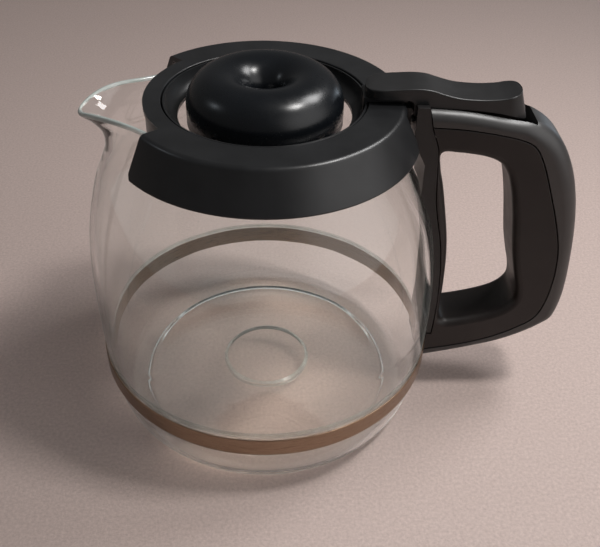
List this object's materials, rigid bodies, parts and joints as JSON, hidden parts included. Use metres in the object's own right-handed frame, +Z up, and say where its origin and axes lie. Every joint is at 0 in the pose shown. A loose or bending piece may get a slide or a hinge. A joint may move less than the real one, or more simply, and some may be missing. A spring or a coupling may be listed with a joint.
{
  "type": "coffee server carafe",
  "caption": "Round-bellied glass coffee server with a pouring lip, plastic collar, banded D-handle and a domed hinged lid lifted by a thumb lever.",
  "frame": {"origin": "centre of the flat ring that the jug stands on", "axes": "+Z up along the jug's axis, +X towards the handle, pouring lip along -X"},
  "size_m": [0.2317, 0.1654, 0.1734],
  "materials": {
    "glass": "clear blown glass",
    "black_plastic": "satin moulded polypropylene",
    "grip_plastic": "satin moulded polypropylene",
    "gloss_black": "satin gloss moulded polypropylene",
    "gasket": "soft matt silicone",
    "band_steel": "rolled stainless strip",
    "screw_steel": "zinc plated"
  },
  "bodies": {
    "server": {"glass_jug": "glass", "collar": "black_plastic", "collar_gasket": "gasket", "steel_band": "band_steel", "handle_mount": "grip_plastic", "handle_grip": "grip_plastic", "handle_cover": "black_plastic", "hinge_pin": "screw_steel", "collar_screw": "screw_steel", "collar_nut": "screw_steel", "mount_screws": "screw_steel", "band_screw": "screw_steel", "band_nut": "screw_steel", "cover_screws": "screw_steel"},
    "lid": {"lid_ring": "black_plastic", "lid_base": "black_plastic", "lid_dome": "gloss_black", "lid_screws": "screw_steel", "thumb_lever": "black_plastic", "lever_screws": "screw_steel"}
  },
  "joints": [
    {"name": "lid_hinge", "type": "hinge", "parent": "server", "child": "lid", "pos_m": [0.066, 0, 0.16], "axis": [0, 1, 0], "range_deg": [0, 20]}
  ]
}
